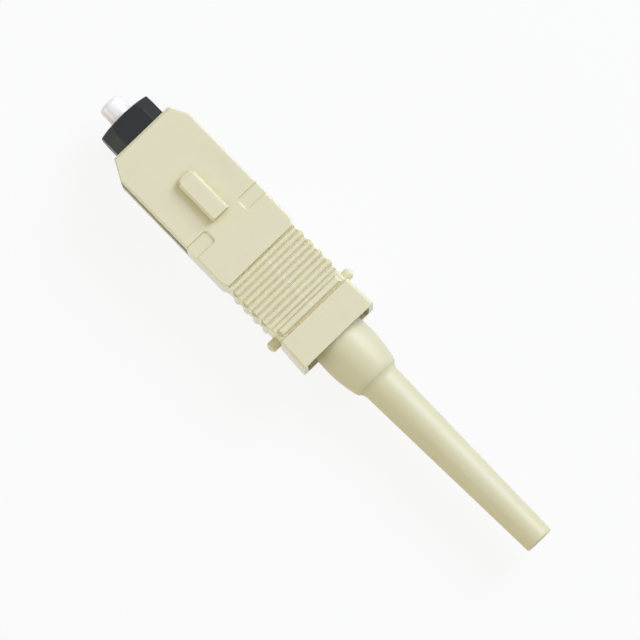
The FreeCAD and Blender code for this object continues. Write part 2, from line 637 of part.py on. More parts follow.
def key():
    """The key on the upper face: bevelled upper edges and a rounded, lower nose towards the front."""
    front = GRIP_FRONT - KEY_FROM_FRONT
    z = GRIP_HEIGHT / 2
    rings = []
    nose = [(0, 0), (0.3, 0.62), (1, 1)]
    for run, share in nose + [(KEY_LENGTH / KEY_NOSE_LENGTH, 1)]:
        x = front - KEY_NOSE_LENGTH * run
        height = KEY_NOSE_HEIGHT + (KEY_HEIGHT - KEY_NOSE_HEIGHT) * share
        base = (KEY_NOSE_WIDTH + (KEY_WIDTH - KEY_NOSE_WIDTH) * share) / 2
        top = base - (KEY_WIDTH - KEY_TOP_WIDTH) / 2
        low = height - KEY_BEVEL_HEIGHT
        ring = [(-base, -0.1), (base, -0.1), (base, low), (top, height), (-top, height), (-base, low)]
        rings.append([Vector(x, y, z + up) for y, up in ring])
    return skinned(rings)


def pocket():
    """Shallow recess from near the middle to the +Y edge. Its inner end slopes and has cut corners."""
    front = GRIP_FRONT - POCKET_FROM_FRONT
    rear = front - POCKET_LENGTH
    z = GRIP_HEIGHT / 2
    edge = GRIP_WIDTH / 2 + 0.2
    over = 0.05

    def outline(up, inner):
        c = POCKET_CORNER
        ring = [(front, edge), (front, inner + c), (front - c, inner),
                (rear + c, inner), (rear, inner + c), (rear, edge)]
        return [Vector(x, y, z + up) for x, y in ring]
    grow = POCKET_SLOPE * over / POCKET_DEPTH
    return skinned([outline(over, POCKET_INNER - grow), outline(-POCKET_DEPTH, POCKET_INNER + POCKET_SLOPE)])


def peg():
    """Round peg with a domed tip on the +Y narrow side."""
    x = GRIP_FRONT - PEG_FROM_FRONT
    root = REAR_CAVITY_HALF_WIDTH + 0.05
    r = PEG_D / 2
    shaft = Part.makeCylinder(r, PEG_TIP_HALF_SPAN - root, Vector(x, root, 0), Vector(0, 1, 0))
    dome_r = (r * r + PEG_DOME * PEG_DOME) / (2 * PEG_DOME)
    dome = Part.makeSphere(dome_r, Vector(x, PEG_TIP_HALF_SPAN - dome_r, 0))
    foot = Part.makeCylinder(r + 0.1, PEG_TIP_HALF_SPAN - root - PEG_DOME, Vector(x, root, 0), Vector(0, 1, 0))
    return shaft.common(dome.fuse(foot))


def release_ramp():
    """Ramp on the upper lip of the +Y window. Pulled back, it lifts the adapter's hook."""
    front = GRIP_FRONT - RAMP_FROM_FRONT
    flat = front - RAMP_FLAT
    low = NOSE_HALF_WIDTH + GRIP_GAP
    z0, z1 = WINDOW_HALF_HEIGHT - RAMP_WIDTH, WINDOW_HALF_HEIGHT + 0.1
    points = [Vector(front, low, z0), Vector(front - 0.5, RAMP_HALF_WIDTH, z0), Vector(flat, RAMP_HALF_WIDTH, z0),
              Vector(flat - RAMP_RUN, low + 0.3, z0), Vector(flat - RAMP_RUN, low, z0)]
    return slab(points, Vector(0, 0, z1 - z0))


def grip_cavity():
    """Room for the plug frame. It only widens towards the rear, so the core draws out that way."""
    gap = GRIP_GAP
    half_h = NOSE_HALF_HEIGHT + gap
    wide = FRAME_BODY_HALF_WIDTH + gap
    step = GRIP_FRONT - FRONT_CAVITY_LENGTH
    nose = lofted([(GRIP_FRONT + 1, NOSE_HALF_WIDTH + gap, half_h, NOSE_CORNER),
                   (step, NOSE_HALF_WIDTH + gap, half_h, NOSE_CORNER),
                   (step - FRAME_STEP, wide, half_h, CAVITY_CORNER),
                   (LEDGE_REAR, wide, half_h, CAVITY_CORNER)])
    block_front = GRIP_REAR + BLOCK_LENGTH
    rear = lofted([(LEDGE_REAR, REAR_CAVITY_HALF_WIDTH, half_h, CAVITY_CORNER),
                   (block_front, REAR_CAVITY_HALF_WIDTH, half_h, CAVITY_CORNER)])
    mouth = lofted([(block_front, REAR_CAVITY_HALF_WIDTH, REAR_OPENING_HALF_HEIGHT, CAVITY_CORNER),
                    (GRIP_REAR - 1, REAR_CAVITY_HALF_WIDTH, REAR_OPENING_HALF_HEIGHT, CAVITY_CORNER)])
    return [nose, rear, mouth]


def window():
    """Opening in both narrow sides, from the front to the ledge."""
    reach = GRIP_WIDTH / 2 + 1
    return block(GRIP_FRONT + 1, WINDOW_REAR, -reach, reach, -WINDOW_HALF_HEIGHT, WINDOW_HALF_HEIGHT)


def make_grip():
    ribs, bar = rib_comb(), cross_bar()
    sides = side_ribs()
    outside = grip_outside().fuse([ribs, mirrored_z(ribs), bar, mirrored_z(bar), key()]
                                  + sides + [mirrored_y(s) for s in sides] + both_sides(peg()))
    hollow = pocket()
    pockets = both_sides(hollow) + both_sides(mirrored_z(hollow))
    body = outside.cut(pockets + grip_cavity() + [window()])
    ramp = release_ramp()
    ramps = both_sides(ramp) + both_sides(mirrored_z(ramp))
    return joined(body, ramps)


PIECES = [
    ("grip", make_grip),
    ("plug_frame", make_plug_frame),
    ("ferrule", make_ferrule),
    ("ferrule_holder", make_holder),
    ("guide_tube", make_guide_tube),
    ("spring", make_spring),
    ("rear_body", make_rear_body),
    ("crimp_sleeve", make_crimp_sleeve),
    ("boot", make_boot),
]

for name, make in PIECES:
    make().exportStep("parts/" + name + ".step")
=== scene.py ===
"""Dresses the SC fibre connector's parts with their finishes and sets it in a plain studio."""

import math

import bpy
from mathutils import Matrix, Vector


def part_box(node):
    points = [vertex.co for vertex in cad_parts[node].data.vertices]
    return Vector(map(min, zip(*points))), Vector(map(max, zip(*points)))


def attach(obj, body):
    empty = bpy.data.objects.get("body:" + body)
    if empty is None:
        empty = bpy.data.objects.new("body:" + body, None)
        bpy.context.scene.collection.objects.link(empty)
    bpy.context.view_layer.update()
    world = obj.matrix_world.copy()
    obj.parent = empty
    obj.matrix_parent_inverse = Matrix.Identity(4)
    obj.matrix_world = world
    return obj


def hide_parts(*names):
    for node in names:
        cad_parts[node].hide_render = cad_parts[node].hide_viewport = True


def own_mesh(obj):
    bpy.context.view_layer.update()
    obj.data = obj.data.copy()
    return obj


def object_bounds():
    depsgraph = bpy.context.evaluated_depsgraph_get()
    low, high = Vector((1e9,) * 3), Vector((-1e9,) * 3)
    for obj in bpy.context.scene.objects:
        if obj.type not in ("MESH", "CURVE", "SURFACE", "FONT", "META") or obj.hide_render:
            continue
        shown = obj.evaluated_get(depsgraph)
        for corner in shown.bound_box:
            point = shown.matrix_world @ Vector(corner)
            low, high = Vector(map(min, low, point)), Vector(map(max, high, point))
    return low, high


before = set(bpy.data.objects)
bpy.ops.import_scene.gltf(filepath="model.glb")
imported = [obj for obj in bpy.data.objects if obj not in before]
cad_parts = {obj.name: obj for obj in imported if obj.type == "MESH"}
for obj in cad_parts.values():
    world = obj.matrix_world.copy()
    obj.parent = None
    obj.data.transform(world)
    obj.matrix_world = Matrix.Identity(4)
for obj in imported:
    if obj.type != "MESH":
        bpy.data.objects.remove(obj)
CAD_BOX = [list(corner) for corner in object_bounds()]

bl_info = {
    "name": "SC Fibre Connector",
    "version": (1, 0, 0),
    "blender": (4, 5, 0),
    "location": "3D View > Sidebar > Connector",
    "description": "Finishes, boot, spring and studio for a push-pull fibre connector",
    "category": "Object",
}

MM = 0.001

# surface patterns
CLOUD_SPACING = 6 * MM        # flow clouds in moulded plastic
WEAR_SPACING = 1.2 * MM       # duller patches on metal
MILK_SPACING = 2.5 * MM       # faint clouds in the ceramic
GRINDING_SPACING = 0.05 * MM  # the ferrule's grinding marks
WAVE_RADIANS = 20             # phase of a wave texture over one unit at scale one
RELIEF = 0.01 * MM            # height of the grain and the tool marks
# painted shade: ambient occlusion darkens grooves and openings in the plastic towards olive
GROOVE_REACH = 1.2 * MM       # walls nearer than this make a groove
GROOVE_CURVE = 1.6            # keeps open faces clean
PAINTED_SHADE_LIMIT = 0.22           # the most of the painted shade that shows
# a real knit line across the ribs, drawn paler as a painted highlight for the light its ridge
# catches
KNIT_LINE_AND_HIGHLIGHT = (-20.8 * MM, -27.4 * MM, -0.22 * MM, 0.22 * MM)  # front, rear, aside, width

# coil spring
COIL_STEPS = 40               # mesh steps to a turn
WIRE_SIDES = 12
CLOSED_PITCH = 1.03           # wire diameters from one closed turn to the next

# boot
BOOT_SIDES = 72
LEAN_START = 2 * MM           # behind the grip, where the lean sets in over as much again
SWELL_LENGTH = 2.7 * MM       # from the bulge's crest to the straight front
SWELL_RISE = 0.22 * MM        # and how much thicker the crest is
FRONT_CHAMFER = 0.1 * MM
CREASE_LENGTH = 0.15 * MM     # the small step at the neck
CREASE_DEPTH = 0.05 * MM
CREASE_EDGE = (0.05 * MM, 0.04 * MM)  # its upper edge, behind the neck and below it
END_EASE = 0.22 * MM          # rounding of the thin end
END_DROP = 0.6                # how far the rounding goes in, as a share of its length
MOUTH = ((0, 0.12 * MM), (0.04 * MM, 0.04 * MM), (0.14 * MM, 0))  # depth and widening
CONE_FOOT = 0.72 * MM         # lead-in cone, counted behind the crimp sleeve
CONE_TOP = 0.02 * MM
SLEEVE_TAIL_ROOM = 1.53 * MM  # radius of the room for the sleeve's tail
SLEEVE_TAIL_LENGTH = 3 * MM
SLEEVE_NECK_END = 3.8 * MM    # where the wider room begins
SLEEVE_GAP = 0.03 * MM

# studio: place from the connector's middle, then width and depth, in metres
SOFTBOXES = (
    ("key softbox", "key_power", "E4EAFF", (0.02, -0.44, 0.33), 0.25, 0.34),
    ("top softbox", "top_power", "FFFDF8", (0.0, 0.05, 0.55), 0.9, 0.9),
    ("fill card", "fill_power", "FFF4DC", (0.0, 0.62, 0.116), 1.4, 0.21),
)
FLOOR_HALF = 0.6              # half the floor's width
FLOOR_WHITE = 0.88            # share of plain white in the floor that the camera sees
HORIZON_LIGHT = 0.04          # strength of the room's light from low down
AIM_X = -28.6 * MM            # where the camera looks, on the axis
TOWARDS_CAMERA = (-0.070, 0.061, 0.996)


def linear(code):
    """An sRGB hex code as linear red, green, blue and full alpha."""
    channels = [int(code[n:n + 2], 16) / 255 for n in (0, 2, 4)]
    return (*[c / 12.92 if c <= 0.04045 else ((c + 0.055) / 1.055) ** 2.4 for c in channels], 1)


def colour(name, description, code):
    """A colour that a user would change, given as an sRGB hex code."""
    return bpy.props.FloatVectorProperty(
        name=name, description=description, subtype="COLOR", size=4, min=0, max=1,
        default=linear(code))


def length(name, description, millimetres):
    """A length that a user would change, given in millimetres."""
    return bpy.props.FloatProperty(
        name=name, description=description, unit="LENGTH", subtype="DISTANCE", min=0, precision=5,
        default=millimetres * MM)


def power(name, description, watts):
    """The power of a lamp."""
    return bpy.props.FloatProperty(
        name=name, description=description, unit="POWER", min=0, default=watts)


def angle(name, description, degrees):
    """An angle that a user would change, given in degrees."""
    return bpy.props.FloatProperty(
        name=name, description=description, subtype="ANGLE", unit="ROTATION",
        default=math.radians(degrees))


def number(name, description, default, least=0):
    """A plain number that a user would change."""
    return bpy.props.FloatProperty(
        name=name, description=description, min=least, default=default)


# ---- values that a user would change ----
class HousingSettings(bpy.types.PropertyGroup):
    """The two moulded housings."""
    grip_colour: colour("Grip colour", "Ivory of the sliding grip", "E6E1C3")
    grip_shade: colour("Grip shade", "Slightly warmer ivory in the flow clouds", "E3DEBC")
    frame_colour: colour("Plug frame colour", "Dark green grey of the plug frame", "0A1211")
    edge_radius: length("Edge radius", "Radius that the mould leaves on outside edges", 0.09)
    grain: length("Mould grain", "Spacing of the spark-eroded grain", 0.09)


class BootSettings(bpy.types.PropertyGroup):
    """The strain-relief boot, lengths counted back from the grip's rear face."""
    colour: colour("Boot colour", "Ivory of the soft boot", "D8D4B1")
    bulge: length("Bulge diameter", "Widest part, just behind the grip", 5.78)
    bulge_at: length("Bulge place", "Crest of the bulge behind the grip", 1.5)
    neck: length("Neck diameter", "Where the bulge ends at the crease", 4.90)
    neck_at: length("Neck place", "Crease behind the grip", 4.9)
    taper: length("Taper diameter", "Thick end of the long taper", 3.92)
    taper_at: length("Taper place", "Thick end of the taper behind the grip", 5.9)
    end: length("End diameter", "Thin end of the long taper", 2.96)
    bore: length("Cord bore", "Bore for round cordage", 2.1)
    lean: angle("Lean", "Sideways set of the soft tail", 0.9)


class SpringSettings(bpy.types.PropertyGroup):
    """The coil spring behind the ferrule."""
    wire: length("Wire diameter", "Diameter of the spring wire", 0.43)
    turns: number("Turns", "Turns in all", 5.5, least=2)
    closed: number("Closed turns", "Closed turns at each end", 1.0)


class StudioSettings(bpy.types.PropertyGroup):
    """Floor, lamps and camera."""
    floor_colour: colour("Floor colour", "White paper sweep", "E0E0DD")
    key_power: power("Key lamp", "Power of the key softbox", 2.78)
    top_power: power("Top lamp", "Power of the overhead softbox", 0.92)
    fill_power: power("Fill card", "Power of the fill card opposite the key", 1.85)
    world_light: number("Room light", "Strength of the room's light overhead", 0.42)
    field: length("Field of view", "Width that the camera takes in at the connector", 60.1)
    distance: length("Camera distance", "Camera to the connector", 600)
    roll: angle("Roll", "Slant of the connector in the view", 45.95)


# ---- shader helpers ----
def node(tree, kind, settings=None, links=None):
    """Adds a shader node. settings name properties or inputs, links give an input its source."""
    made = tree.nodes.new(kind)
    for name, value in (settings or {}).items():
        if isinstance(name, str) and hasattr(made, name):
            setattr(made, name, value)
        else:
            made.inputs[name].default_value = value
    for name, source in (links or {}).items():
        tree.links.new(source, made.inputs[name])
    return made


def material(name, principled):
    """A new material with its Principled shader, whose plain numbers are set on the sockets."""
    made = bpy.data.materials.new(name)
    made.use_nodes = True
    made.node_tree.nodes.clear()
    tree = made.node_tree
    shader = node(tree, "ShaderNodeBsdfPrincipled", principled)
    node(tree, "ShaderNodeOutputMaterial", links={"Surface": shader.outputs["BSDF"]})
    return made, tree, shader


def scale_of(spacing):
    """Noise scale whose pattern repeats about once in the given length."""
    return 1 / spacing


def knit_line_and_highlight(tree, place, front, rear, aside, width):
    """One along a pale line where two flows of plastic met, between two places along the axis; its
    paleness is partly a painted highlight for the light that the line's ridge catches.
    """
    axes = node(tree, "ShaderNodeSeparateXYZ", links={"Vector": place})
    along = node(tree, "ShaderNodeMath",
                 {"operation": "COMPARE", 1: (front + rear) / 2, 2: abs(front - rear) / 2},
                 {0: axes.outputs["X"]})
    offset = node(tree, "ShaderNodeMath", {"operation": "SUBTRACT", 1: aside},
                  {0: axes.outputs["Y"]})
    distance = node(tree, "ShaderNodeMath", {"operation": "ABSOLUTE"}, {0: offset.outputs[0]})
    across = node(tree, "ShaderNodeMapRange", {"From Min": width / 2, "From Max": 0.0},
                  {"Value": distance.outputs[0]})
    return node(tree, "ShaderNodeMath", {"operation": "MULTIPLY"},
                {0: along.outputs[0], 1: across.outputs["Result"]}).outputs[0]


def painted_groove_shade(tree):
    """Painted shade: from nought on open faces up to the limit in grooves and openings."""
    open_share = node(tree, "ShaderNodeAmbientOcclusion",
                      {"samples": 8, "only_local": True, "Distance": GROOVE_REACH})
    shut = node(tree, "ShaderNodeMath", {"operation": "SUBTRACT", 0: 1.0},
                {1: open_share.outputs["AO"]})
    steep = node(tree, "ShaderNodeMath", {"operation": "POWER", 1: GROOVE_CURVE},
                 {0: shut.outputs[0]})
    return node(tree, "ShaderNodeMath", {"operation": "MINIMUM", 1: PAINTED_SHADE_LIMIT},
                {0: steep.outputs[0]}).outputs[0]


def moulded_plastic(name, base, shade, grain, rough, edge, extra=None, knit_and_highlight=None, deep=None):
    """Moulded plastic: faint flow clouds, the mould's fine grain and edges that catch the light,
    with painted shade in grooves and a painted highlight on the knit line where asked.
    """
    made, tree, shader = material(name, {"Roughness": rough, "IOR": 1.52, **(extra or {})})
    place = node(tree, "ShaderNodeTexCoord").outputs["Object"]
    clouds = node(tree, "ShaderNodeTexNoise",
                  {"Scale": scale_of(CLOUD_SPACING), "Detail": 3, "Roughness": 0.55},
                  {"Vector": place})
    tint = node(tree, "ShaderNodeMix", {"data_type": "RGBA", 6: base, 7: shade},
                {0: clouds.outputs["Fac"]})
    if knit_and_highlight:
        # paler ivory: the knit line with a painted highlight on it
        tint = node(tree, "ShaderNodeMix", {"data_type": "RGBA", 7: linear("EEE9D2")},
                    {0: knit_line_and_highlight(tree, place, *knit_and_highlight), 6: tint.outputs[2]})
    if deep:
        # painted shade: ambient occlusion darkens grooves and openings towards olive, where light
        # between ivory walls turns olive
        tint = node(tree, "ShaderNodeMix", {"data_type": "RGBA", 7: deep},
                    {0: painted_groove_shade(tree), 6: tint.outputs[2]})
    tree.links.new(tint.outputs[2], shader.inputs["Base Color"])
    # real grain is some 0.03 mm, drawn three to four times as coarse so that it shows
    fine = node(tree, "ShaderNodeTexNoise",
                {"Scale": scale_of(grain), "Detail": 2, "Roughness": 0.6}, {"Vector": place})
    # the grain's low spots are a little glossier than its peaks
    gloss = node(tree, "ShaderNodeMapRange", {"To Min": rough - 0.05, "To Max": rough + 0.07},
                 {"Value": fine.outputs["Fac"]})
    tree.links.new(gloss.outputs["Result"], shader.inputs["Roughness"])
    rounded = node(tree, "ShaderNodeBevel", {"samples": 6, "Radius": edge})
    bump = node(tree, "ShaderNodeBump", {"Strength": 0.10, "Distance": RELIEF},
                {"Height": fine.outputs["Fac"], "Normal": rounded.outputs["Normal"]})
    tree.links.new(bump.outputs["Normal"], shader.inputs["Normal"])
    return made


def turned_metal(name, base, rough, spacing):
    """Turned or drawn metal: rings round the axis, which draw the highlight out along it."""
    made, tree, shader = material(name, {"Base Color": base, "Metallic": 1.0, "Roughness": rough,
                                         "Anisotropic": 0.35})
    place = node(tree, "ShaderNodeTexCoord").outputs["Object"]
    # tool marks are some 0.1 mm apart, drawn six to thirteen times as coarse so that they show
    rings = node(tree, "ShaderNodeTexWave",
                 {"wave_type": "BANDS", "bands_direction": "X", "Distortion": 0.6, "Detail": 2,
                  "Scale": 2 * math.pi / WAVE_RADIANS / spacing},
                 {"Vector": place})
    worn = node(tree, "ShaderNodeTexNoise", {"Scale": scale_of(WEAR_SPACING), "Detail": 4},
                {"Vector": place})
    gloss = node(tree, "ShaderNodeMapRange", {"To Min": rough - 0.06, "To Max": rough + 0.1},
                 {"Value": worn.outputs["Fac"]})
    bump = node(tree, "ShaderNodeBump", {"Strength": 0.25, "Distance": RELIEF},
                {"Height": rings.outputs["Fac"]})
    tree.links.new(gloss.outputs["Result"], shader.inputs["Roughness"])
    tree.links.new(bump.outputs["Normal"], shader.inputs["Normal"])
    return made


def dress(name, finish):
    """Gives a CAD node its finish in every slot."""
    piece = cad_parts[name]
    if not piece.material_slots:
        piece.data.materials.append(finish)
    for slot in piece.material_slots:
        slot.material = finish
    return piece


def new_piece(name, points, faces, finish, body):
    """Makes a smooth mesh object from points and faces that rides on a body."""
    mesh = bpy.data.meshes.new(name)
    mesh.from_pydata(points, [], faces)
    mesh.materials.append(finish)
    mesh.validate()
    for face in mesh.polygons:
        face.use_smooth = True
    piece = bpy.data.objects.new(name, mesh)
    bpy.context.scene.collection.objects.link(piece)
    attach(piece, body)
    return piece


def coil_line(front, rear, radius, look):
    """Centre line of a spring with closed end turns, wound from the front to the rear."""
    closed_run = look.wire * CLOSED_PITCH * look.closed
    count = int(look.turns * COIL_STEPS)
    line = []
    for n in range(count + 1):
        turn = look.turns * n / count
        if turn < look.closed:
            x = front - closed_run * turn / look.closed
        elif turn > look.turns - look.closed:
            x = rear + closed_run * (look.turns - turn) / look.closed
        else:
            share = (turn - look.closed) / (look.turns - 2 * look.closed)
            x = front - closed_run - (front - rear - 2 * closed_run) * share
        about = 2 * math.pi * turn
        line.append(Vector((x, radius * math.cos(about), radius * math.sin(about))))
    return line


def round_wire(line, radius):
    """Points and faces of a round wire along a line that winds about the connector's axis."""
    points, faces = [], []
    sides, last = WIRE_SIDES, len(line) - 1
    for n, centre in enumerate(line):
        along = (line[min(n + 1, last)] - line[max(n - 1, 0)]).normalized()
        out = Vector((0, centre.y, centre.z)).normalized()
        out = (out - along * out.dot(along)).normalized()
        side = along.cross(out)
        for m in range(sides):
            turn = 2 * math.pi * m / sides
            points.append(centre + radius * (out * math.cos(turn) + side * math.sin(turn)))
    for n in range(last):
        for m in range(sides):
            k = (m + 1) % sides
            faces.append((n * sides + m, n * sides + k, (n + 1) * sides + k, (n + 1) * sides + m))
    faces.append(tuple(reversed(range(sides))))
    faces.append(tuple(last * sides + m for m in range(sides)))
    return points, faces


def arc_from(x, r, x_level, r_level, steps):
    """Points of an arc from (x, r) to (x_level, r_level), where it runs along the axis."""
    run, rise = x - x_level, r - r_level
    bend = (run * run + rise * rise) / (2 * abs(rise))
    whole = math.asin(min(1, abs(run) / bend))
    points = []
    for n in range(steps, -1, -1):
        turn = whole * n / steps
        points.append((x_level + math.copysign(bend * math.sin(turn), run),
                       r_level + math.copysign(bend * (1 - math.cos(turn)), rise)))
    return points


# ---- the pieces ----
class CONNECTOR_OT_grip(bpy.types.Operator):
    """Finish the ribbed sliding grip"""
    bl_idname = "connector.grip"
    bl_label = "Grip"

    def execute(self, context):
        look = context.scene.connector_housing
        # PBT, injection moulded in a spark-eroded tool: a dry satin surface with soft edges
        finish = moulded_plastic(
            "ivory PBT moulded satin", look.grip_colour, look.grip_shade, look.grain,
            rough=0.28, edge=look.edge_radius,
            extra={"Subsurface Weight": 0.5, "Subsurface Scale": 0.35 * MM,
                   "Subsurface Radius": (1.0, 0.85, 0.45)},
            # olive of the painted shade in grooves and openings
            knit_and_highlight=KNIT_LINE_AND_HIGHLIGHT, deep=linear("BEB43C"))
        dress("grip", finish)
        return {"FINISHED"}


class CONNECTOR_OT_plug_frame(bpy.types.Operator):
    """Finish the dark plug frame inside the grip"""
    bl_idname = "connector.plug_frame"
    bl_label = "Plug frame"

    def execute(self, context):
        look = context.scene.connector_housing
        # PBT with dark pigment, injection moulded: a low sheen that shows its chamfers
        finish = moulded_plastic(
            "dark PBT moulded", look.frame_colour, look.frame_colour, look.grain,
            rough=0.36, edge=look.edge_radius, extra={"Specular IOR Level": 0.33})
        dress("plug_frame", finish)
        return {"FINISHED"}


class CONNECTOR_OT_ferrule(bpy.types.Operator):
    """Finish the ceramic ferrule"""
    bl_idname = "connector.ferrule"
    bl_label = "Ferrule"

    def execute(self, context):
        # zirconia, ground and polished: dense milky white that light enters a little
        made, tree, shader = material("zirconia ground and polished", {
            "IOR": 2.15, "Roughness": 0.28, "Subsurface Weight": 0.6, "Subsurface Scale": 0.8 * MM,
            "Subsurface Radius": (1.0, 0.92, 0.9)})
        place = node(tree, "ShaderNodeTexCoord").outputs["Object"]
        clouds = node(tree, "ShaderNodeTexNoise",
                      {"Scale": scale_of(MILK_SPACING), "Detail": 2}, {"Vector": place})
        tint = node(tree, "ShaderNodeMix",
                    {"data_type": "RGBA", 6: linear("F9F4F5"), 7: linear("F6F0F2")},
                    {0: clouds.outputs["Fac"]})
        # grinding marks are under a micrometre, drawn at 0.05 mm so that they show
        marks = node(tree, "ShaderNodeTexNoise",
                     {"Scale": scale_of(GRINDING_SPACING), "Detail": 1}, {"Vector": place})
        gloss = node(tree, "ShaderNodeMapRange", {"To Min": 0.26, "To Max": 0.31},
                     {"Value": marks.outputs["Fac"]})
        tree.links.new(tint.outputs[2], shader.inputs["Base Color"])
        tree.links.new(gloss.outputs["Result"], shader.inputs["Roughness"])
        dress("ferrule", made)
        return {"FINISHED"}


class CONNECTOR_OT_metal(bpy.types.Operator):
    """Finish the turned metal parts inside"""
    bl_idname = "connector.metal"
    bl_label = "Turned metal parts"

    def execute(self, context):
        # brass, turned and nickel plated: warm grey with lathe rings under the plating
        nickel = turned_metal(
            "nickel-plated brass turned", linear("C9C3B6"), rough=0.28, spacing=0.75398 * MM)
        for name in ("ferrule_holder", "rear_body"):
            dress(name, nickel)
        # aluminium tube, drawn and cut: paler and duller
        dress("crimp_sleeve", turned_metal(
            "aluminium drawn", linear("D2D3D4"), rough=0.38, spacing=1.25664 * MM))
        return {"FINISHED"}


class CONNECTOR_OT_guide_tube(bpy.types.Operator):
    """Finish the guide tube"""
    bl_idname = "connector.guide_tube"
    bl_label = "Guide tube"

    def execute(self, context):
        # PTFE, extruded: waxy white that glows where it is thin
        finish = moulded_plastic(
            "PTFE extruded", linear("F2F2EE"), linear("EAEAE4"), grain=0.12 * MM,
            rough=0.5, edge=0.02 * MM,
            extra={"Subsurface Weight": 0.4, "Subsurface Scale": 0.4 * MM})
        dress("guide_tube", finish)
        return {"FINISHED"}


class CONNECTOR_OT_spring(bpy.types.Operator):
    """Wind the coil spring with closed ends"""
    bl_idname = "connector.spring"
    bl_label = "Spring"

    def execute(self, context):
        look = context.scene.connector_spring
        low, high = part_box("spring")
        wire = look.wire / 2
        line = coil_line(high.x - wire, low.x + wire, (high.y - low.y) / 2 - wire, look)
        points, faces = round_wire(line, wire)
        # stainless steel, drawn to wire and coiled: bright, with a highlight on every turn
        steel = turned_metal(
            "stainless wire drawn", linear("B9B9BA"), rough=0.25, spacing=0.62832 * MM)
        piece = new_piece("coil_spring", points, faces, steel, "core")
        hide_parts("spring")
        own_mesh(piece)
        return {"FINISHED"}


class CONNECTOR_OT_boot(bpy.types.Operator):
    """Mould the soft strain-relief boot"""
    bl_idname = "connector.boot"
    bl_label = "Boot"

    def execute(self, context):
        look = context.scene.connector_boot
        low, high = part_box("boot")
        grip_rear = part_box("grip")[0].x
        profile = self.outside(look, high.x, grip_rear, low.x) + self.inside(look, high.x, low.x)
        points, faces = [], []
        for x, r in profile:
            behind = max(0, grip_rear - LEAN_START - x)
            ease = behind * behind / (behind + LEAN_START)
            shift = -math.tan(look.lean) * ease
            for m in range(BOOT_SIDES):
                turn = 2 * math.pi * m / BOOT_SIDES
                points.append((x, shift + r * math.cos(turn), r * math.sin(turn)))
        for n in range(len(profile)):
            near, far = n * BOOT_SIDES, (n + 1) % len(profile) * BOOT_SIDES
            for m in range(BOOT_SIDES):
                k = (m + 1) % BOOT_SIDES
                faces.append((near + m, far + m, far + k, near + k))
        # thermoplastic elastomer, injection moulded: soft satin, light carries under the skin
        finish = moulded_plastic(
            "ivory TPE moulded soft", look.colour, linear("D3CDA3"), grain=0.11 * MM,
            rough=0.50, edge=0.1 * MM,
            extra={"Specular IOR Level": 0.7, "Subsurface Weight": 0.15,
                   "Subsurface Scale": 1.0 * MM, "Subsurface Radius": (1.0, 0.8, 0.45)})
        piece = new_piece("strain_relief_boot", points, faces, finish, "core")
        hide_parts("boot")
        return {"FINISHED"}

    def outside(self, look, front, grip_rear, rear):
        """Outer profile from the front inside the grip to the rounded rear edge."""
        crest_x, crest = grip_rear - look.bulge_at, look.bulge / 2
        swell_x, swell = crest_x + SWELL_LENGTH, crest - SWELL_RISE
        neck_x, neck = grip_rear - look.neck_at, look.neck / 2
        step_x, step = neck_x - CREASE_LENGTH, neck - CREASE_DEPTH
        taper_x, taper = grip_rear - look.taper_at, look.taper / 2
        end = look.end / 2
        profile = [(front, swell - FRONT_CHAMFER), (front - FRONT_CHAMFER, swell)]
        profile += arc_from(swell_x, swell, crest_x, crest, steps=8)
        profile += list(reversed(arc_from(neck_x, neck, crest_x, crest, steps=12)))[1:]
        profile += [(neck_x - CREASE_EDGE[0], neck - CREASE_EDGE[1]), (step_x, step)]
        profile += arc_from(step_x, step, taper_x, taper, steps=10)[1:]
        straight, rounding = 14, 4
        for n in range(1, straight + 1):
            share = n / straight
            profile.append((taper_x + (rear + END_EASE - taper_x) * share,
                            taper + (end - taper) * share))
        for n in range(1, rounding + 1):
            turn = math.pi / 2 * n / rounding
            profile.append((rear + END_EASE - END_EASE * math.sin(turn),
                            end - END_DROP * END_EASE * (1 - math.cos(turn))))
        return profile

    def inside(self, look, front, rear):
        """The cord's bore with a rounded mouth, a lead-in cone and the crimp sleeve's room."""
        sleeve_low, sleeve_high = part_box("crimp_sleeve")
        bore = look.bore / 2
        room = sleeve_high.z + SLEEVE_GAP
        return [*[(rear + depth, bore + wider) for depth, wider in MOUTH],
                (sleeve_low.x - CONE_FOOT, bore), (sleeve_low.x - CONE_TOP, SLEEVE_TAIL_ROOM),
                (sleeve_low.x + SLEEVE_TAIL_LENGTH, SLEEVE_TAIL_ROOM),
                (sleeve_low.x + SLEEVE_NECK_END, room), (front, room)]


# ---- stage ----
def softbox(name, watts, tone, place, target, width, depth):
    """A flat rectangular lamp that faces the target."""
    light = bpy.data.lights.new(name, "AREA")
    light.color = tone[:3]
    light.shape = "RECTANGLE"
    light.size, light.size_y = width, depth
    light.energy = watts
    lamp = bpy.data.objects.new(name, light)
    lamp.location = place
    lamp.rotation_euler = (target - place).to_track_quat("-Z", "Y").to_euler()
    bpy.context.scene.collection.objects.link(lamp)


def white_to_camera(tree):
    """One where a ray comes from the camera, off a gloss or through glass, otherwise nought."""
    path = node(tree, "ShaderNodeLightPath")
    both = node(tree, "ShaderNodeMath", {"operation": "MAXIMUM"},
                {0: path.outputs["Is Camera Ray"], 1: path.outputs["Is Glossy Ray"]})
    return node(tree, "ShaderNodeMath", {"operation": "MAXIMUM"},
                {0: both.outputs[0], 1: path.outputs["Is Transmission Ray"]}).outputs[0]


